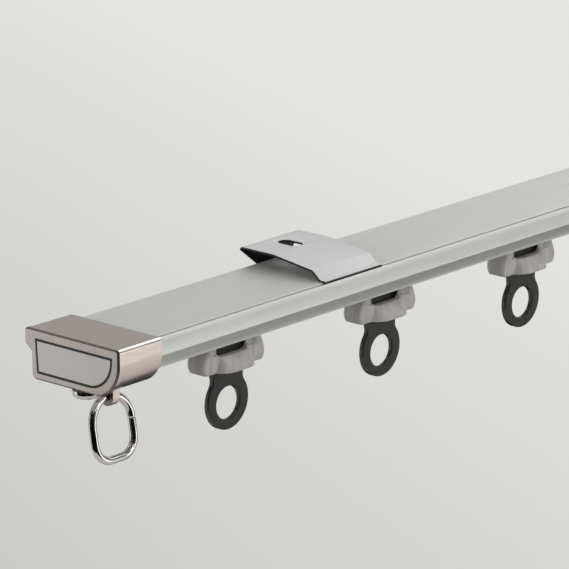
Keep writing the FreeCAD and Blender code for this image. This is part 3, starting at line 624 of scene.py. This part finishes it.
def make_ring():
    """Bent wire: a straight leg, a rounded foot, the other leg and a half-round top."""
    middle_x = (ring_low.x + ring_high.x) / 2
    hinge = Vector((middle_x, 0, ring_hinge_height()))
    low = RING_HEIGHT - RING_CORNER
    half_foot = RING_HALF - RING_CORNER
    bpy.ops.object.select_all(action="DESELECT")
    bpy.ops.mesh.primitive_circle_add(
        vertices=32, radius=WIRE, fill_type="NGON",
        location=(RING_HALF, 0, -(RING_HALF + RING_JOINT)))
    piece = added("left_wire_ring")
    settle(piece)
    bpy.ops.object.mode_set(mode="EDIT")
    bpy.ops.mesh.select_mode(type="FACE")
    bpy.ops.mesh.select_all(action="SELECT")
    leg = low - RING_HALF - RING_JOINT
    extend(0, 0, -leg)
    bend(14, math.pi / 2, half_foot, -low)
    extend(-2 * half_foot, 0, 0)
    bend(14, math.pi / 2, -half_foot, -low)
    extend(0, 0, low - RING_HALF)
    bend(36, math.pi, 0, -RING_HALF)
    bpy.ops.object.mode_set(mode="OBJECT")
    tidy(piece)
    round_edges(piece, WIRE_EDGE, segments=3, degrees=60)
    coat(piece, bright_wire)
    piece.rotation_euler.x = RING_SWING
    piece.location = hinge
    settle(piece)
    other = twin(piece, "right_wire_ring")
    for side, ring in zip(SIDES, (piece, other)):
        smooth(ring, degrees=50)
        fit(ring, side + "_end_ring", side + "_ring")


def ring_hinge_height():
    """The height of the ring's hinge, from the joint that carries it."""
    for joint in frame["joints"]:
        if joint["child"] == "left_ring":
            return joint["pos_m"][2]
    raise ValueError("the left ring has no joint")


# Clips and gliders

def shows_white_paint(face):
    """The clip is white on its outer faces; its other faces, the cut edges, undersides and inside,
    get painted shade.
    """
    outer_wall = face.center.y > CLIP_WALL and face.normal.y > FLAT_ON
    inside_fold = face.center.y > CLIP_FOLD and face.center.z < -CLIP_INSIDE
    return (face.normal.z > SLOPES_UP and not inside_fold) or outer_wall


def make_clip(side):
    """The stamped strap with rolled edges, white outside, with painted shade on its cut edges,
    undersides and inside.
    """
    piece = finished_copy(side + "_clip", side + "_sprung_clip")
    coat(piece, white_paint)
    # Painted shade on the cut edges, the undersides and the inside of the fold
    coat(piece, painted_shade_steel, lambda face: not shows_white_paint(face))
    round_edges(piece, CLIP_EDGE, segments=2, degrees=38)
    smooth(piece, degrees=50)
    fit(piece, side + "_clip", "track")


def open_window(sleeve, middle):
    """Lower the window's sill to the root of the skirt, with one round corner."""
    low, high = WINDOW_LOW, WINDOW_HIGH
    bpy.ops.object.select_all(action="DESELECT")
    bpy.ops.mesh.primitive_cube_add(
        size=1, location=(middle + (WINDOW_LEFT + WINDOW_RIGHT) / 2, 0, (low + high) / 2))
    opening = added("opening")
    opening.scale = (WINDOW_RIGHT - WINDOW_LEFT, WINDOW_THROUGH, high - low)
    settle(opening)
    choose_edges(opening, lambda ends: max(end.z for end in ends) < low + TOUCH
                 and min(end.x for end in ends) > middle + WINDOW_RIGHT - TOUCH)
    bpy.ops.mesh.bevel(offset=WINDOW_ROUND, segments=8, affect="EDGES")
    bpy.ops.object.mode_set(mode="OBJECT")
    tidy(opening)
    cut(sleeve, opening)


def make_glider(number):
    """One glider: frosted sleeve and dark plate; its axle and wheels get their finishes."""
    name = "glider_%d" % number
    sleeve = finished_copy(name + "_sleeve", name + "_frosted_sleeve")
    sleeve_low, sleeve_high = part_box(name + "_sleeve")
    open_window(sleeve, (sleeve_low.x + sleeve_high.x) / 2)
    coat(sleeve, frosted_plastic)
    round_edges(sleeve, SLEEVE_EDGE, segments=3, degrees=35)
    smooth(sleeve, degrees=50)
    fit(sleeve, name + "_sleeve", name)
    plate = finished_copy(name + "_hanger", name + "_eye_plate")
    coat(plate, dark_steel)
    # Painted dark reflection on the plate's edges
    coat(plate, painted_dark_edge, lambda face: abs(face.normal.y) < TURNED)
    round_edges(plate, PLATE_EDGE, segments=2, degrees=35)
    smooth(plate, degrees=32)
    fit(plate, name + "_hanger", name)
    finish_node(name + "_axle", axle_steel)
    for side in ("room", "wall"):
        finish_node("%s_%s_wheel" % (name, side), wheel_plastic)


def finish_node(name, finish):
    """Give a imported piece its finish."""
    piece = frame["nodes"][name]
    piece.data.materials.clear()
    piece.data.materials.append(finish)


# Surroundings

def make_floor():
    """A wide pale floor with painted light: its tone lightens with distance and to the right."""
    bpy.ops.object.select_all(action="DESELECT")
    bpy.ops.mesh.primitive_circle_add(
        vertices=96, radius=FLOOR_REACH, fill_type="NGON",
        location=(cap_low.x, 0, rail_top - FLOOR_DROP))
    floor = added("pale_floor")
    settle(floor)
    material = bpy.data.materials.new("pale_floor")
    material.use_nodes = True
    material.node_tree.nodes.clear()
    place = node(material, "ShaderNodeTexCoord")
    mapping = node(material, "ShaderNodeMapping")
    mapping.inputs["Rotation"].default_value = (0, 0, VIEW_YAW)
    split = node(material, "ShaderNodeSeparateXYZ")
    join(material, place.outputs["Object"], mapping.inputs["Vector"])
    join(material, mapping.outputs["Vector"], split.inputs["Vector"])
    across = node(material, "ShaderNodeMapRange", clamp=False)
    ahead = node(material, "ShaderNodeMapRange", clamp=False)
    # Metres from the track at which the tone starts and stops lightening, and by how much
    for span, start, end, most in ((across, -0.35, 0.1, 0.6), (ahead, 0.6, 2.0, 0.9)):
        span.inputs["From Min"].default_value = start
        span.inputs["From Max"].default_value = end
        span.inputs["To Max"].default_value = most
    join(material, split.outputs["X"], across.inputs["Value"])
    join(material, split.outputs["Y"], ahead.inputs["Value"])
    total = node(material, "ShaderNodeMath", operation="ADD", use_clamp=True)
    join(material, across.outputs["Result"], total.inputs[0])
    join(material, ahead.outputs["Result"], total.inputs[1])
    tone = node(material, "ShaderNodeMixRGB")
    tone.inputs["Color1"].default_value = (0.635, 0.64, 0.603, 1)
    tone.inputs["Color2"].default_value = (0.895, 0.895, 0.868, 1)
    join(material, total.outputs["Value"], tone.inputs["Fac"])
    glow = node(material, "ShaderNodeEmission")
    join(material, tone.outputs["Color"], glow.inputs["Color"])
    matt = node(material, "ShaderNodeBsdfDiffuse")
    matt.inputs["Color"].default_value = (0.18, 0.18, 0.175, 1)
    rays = node(material, "ShaderNodeLightPath")
    seen = node(material, "ShaderNodeMath", operation="MAXIMUM")
    shown = node(material, "ShaderNodeMath", operation="MAXIMUM")
    share = node(material, "ShaderNodeMath", operation="MULTIPLY")
    share.inputs[1].default_value = FLOOR_GLOW
    join(material, rays.outputs["Is Camera Ray"], seen.inputs[0])
    join(material, rays.outputs["Is Glossy Ray"], seen.inputs[1])
    join(material, seen.outputs["Value"], shown.inputs[0])
    join(material, rays.outputs["Is Transmission Ray"], shown.inputs[1])
    join(material, shown.outputs["Value"], share.inputs[0])
    mix = node(material, "ShaderNodeMixShader")
    join(material, share.outputs["Value"], mix.inputs["Fac"])
    join(material, matt.outputs["BSDF"], mix.inputs[1])
    join(material, glow.outputs["Emission"], mix.inputs[2])
    output = node(material, "ShaderNodeOutputMaterial")
    join(material, mix.outputs["Shader"], output.inputs["Surface"])
    floor.data.materials.append(material)


def make_world():
    """Even grey light; polished metal sees a darker room on the camera's side."""
    world = bpy.data.worlds.new("studio")
    bpy.context.scene.world = world
    world.use_nodes = True
    world.node_tree.nodes.clear()
    place = node(world, "ShaderNodeTexCoord")
    facing = node(world, "ShaderNodeVectorMath", operation="DOT_PRODUCT")
    facing.inputs[1].default_value = (AHEAD.x, AHEAD.y, 0.1)
    ramp = node(world, "ShaderNodeValToRGB")
    ramp.color_ramp.elements[0].position = 0.25
    ramp.color_ramp.elements[0].color = (0.02, 0.02, 0.02, 1)
    ramp.color_ramp.elements[1].position = 0.75
    ramp.color_ramp.elements[1].color = (0.36, 0.36, 0.36, 1)
    span = node(world, "ShaderNodeMapRange")
    span.inputs["From Min"].default_value = -1.0
    span.inputs["From Max"].default_value = 1.0
    rays = node(world, "ShaderNodeLightPath")
    plain = node(world, "ShaderNodeBackground")
    plain.inputs["Color"].default_value = (0.62, 0.62, 0.61, 1)
    plain.inputs["Strength"].default_value = 0.725
    room = node(world, "ShaderNodeBackground")
    backdrop = node(world, "ShaderNodeBackground")
    backdrop.inputs["Color"].default_value = (0.76, 0.765, 0.75, 1)
    shown = node(world, "ShaderNodeMixShader")
    mix = node(world, "ShaderNodeMixShader")
    output = node(world, "ShaderNodeOutputWorld")
    join(world, place.outputs["Generated"], facing.inputs[0])
    join(world, facing.outputs["Value"], span.inputs["Value"])
    join(world, span.outputs["Result"], ramp.inputs["Fac"])
    join(world, ramp.outputs["Color"], room.inputs["Color"])
    join(world, rays.outputs["Is Glossy Ray"], mix.inputs["Fac"])
    join(world, plain.outputs["Background"], mix.inputs[1])
    join(world, room.outputs["Background"], mix.inputs[2])
    join(world, rays.outputs["Is Camera Ray"], shown.inputs["Fac"])
    join(world, mix.outputs["Shader"], shown.inputs[1])
    join(world, backdrop.outputs["Background"], shown.inputs[2])
    join(world, shown.outputs["Shader"], output.inputs["Surface"])


def around(turn, rise, reach):
    """A place round the point of aim, by degrees from the camera's side and upwards."""
    turn = math.radians(turn)
    rise = math.radians(rise)
    level = -AHEAD * math.cos(turn) + RIGHTWARDS * math.sin(turn)
    return AIM + (level * math.cos(rise) + SKY * math.sin(rise)) * reach


def make_light(name, turn, rise, reach, size, power):
    """A rectangular soft light aimed at the track."""
    place = around(turn, rise, reach)
    data = bpy.data.lights.new(name, "AREA")
    data.shape = "RECTANGLE"
    data.size = size[0]
    data.size_y = size[1]
    data.energy = power
    light = bpy.data.objects.new(name, data)
    bpy.context.scene.collection.objects.link(light)
    light.location = place
    light.rotation_mode = "QUATERNION"
    light.rotation_quaternion = (AIM - place).to_track_quat("-Z", "Y")
    light.visible_camera = False


def make_card(name, turn, rise, reach, size):
    """A black card that only polished metal sees."""
    place = around(turn, rise, reach)
    bpy.ops.object.select_all(action="DESELECT")
    bpy.ops.mesh.primitive_plane_add(size=1, location=place)
    card = added(name)
    card.scale = (*size, 1)
    card.rotation_mode = "QUATERNION"
    card.rotation_quaternion = (place - AIM).to_track_quat("Z", "Y")
    settle(card)
    card.data.materials.append(black_cloth)
    card.visible_camera = False
    card.visible_diffuse = False
    card.visible_shadow = False
    card.visible_transmission = False


def make_lights():
    """Soft light mostly from the room side, and strips and cards for the polished metal."""
    make_light("room_side", 50, 24, 1.25, (0.8, 0.6), 5.8)
    make_light("end_side", -50, 15, 1.1, (0.6, 0.5), 5.2)
    make_light("wall_side", 150, 35, 1.3, (0.8, 0.8), 2.6)
    make_light("far_end", 139, 50, 0.5, (0.45, 0.45), 0.5)
    make_light("right_strip", 82, 0, 0.9, (0.14, 0.55), 0.5)
    make_light("left_strip", -86, 0, 0.9, (0.2, 0.6), 0.3)
    make_light("right_rim", 116, 40, 1.1, (0.4, 0.4), 0.5)
    make_light("left_rim", -106, 45, 1.1, (0.3, 0.3), 0.3)
    make_card("near_card", -30, 0, 0.5, (0.9, 0.62))
    make_card("room_card", 34, 0, 0.5, (0.5, 0.62))
    make_card("low_card", 168, -40, 0.34, (0.5, 0.36))


def make_camera():
    """The camera, set from the near upper corner of the track."""
    corner = Vector((cap_low.x, 0, rail_top))
    ahead = AHEAD * math.cos(VIEW_PITCH) - SKY * math.sin(VIEW_PITCH)
    upright = AHEAD * math.sin(VIEW_PITCH) + SKY * math.cos(VIEW_PITCH)
    right = RIGHTWARDS * math.cos(VIEW_ROLL) + upright * math.sin(VIEW_ROLL)
    up = upright * math.cos(VIEW_ROLL) - RIGHTWARDS * math.sin(VIEW_ROLL)
    data = bpy.data.cameras.new("view")
    data.lens = LENS
    data.sensor_width = 36
    data.clip_start = 0.05
    data.clip_end = 50
    camera = bpy.data.objects.new("view", data)
    bpy.context.scene.collection.objects.link(camera)
    camera.location = corner - (right * VIEW_RIGHT + up * VIEW_UP + ahead * VIEW_AHEAD)
    camera.rotation_mode = "QUATERNION"
    turn = Matrix((right, up, -ahead)).transposed()
    camera.rotation_quaternion = turn.to_quaternion()
    bpy.context.scene.camera = camera


make_camera()
make_rail()
for side, sign in (("left", -1), ("right", 1)):
    make_cap(side, sign)
    make_frame_enamel(side, sign)
    make_clip(side)
make_screw()
make_ring()
for number in GLIDERS:
    make_glider(number)
make_floor()
make_world()
make_lights()
bpy.context.scene.view_settings.view_transform = "Standard"
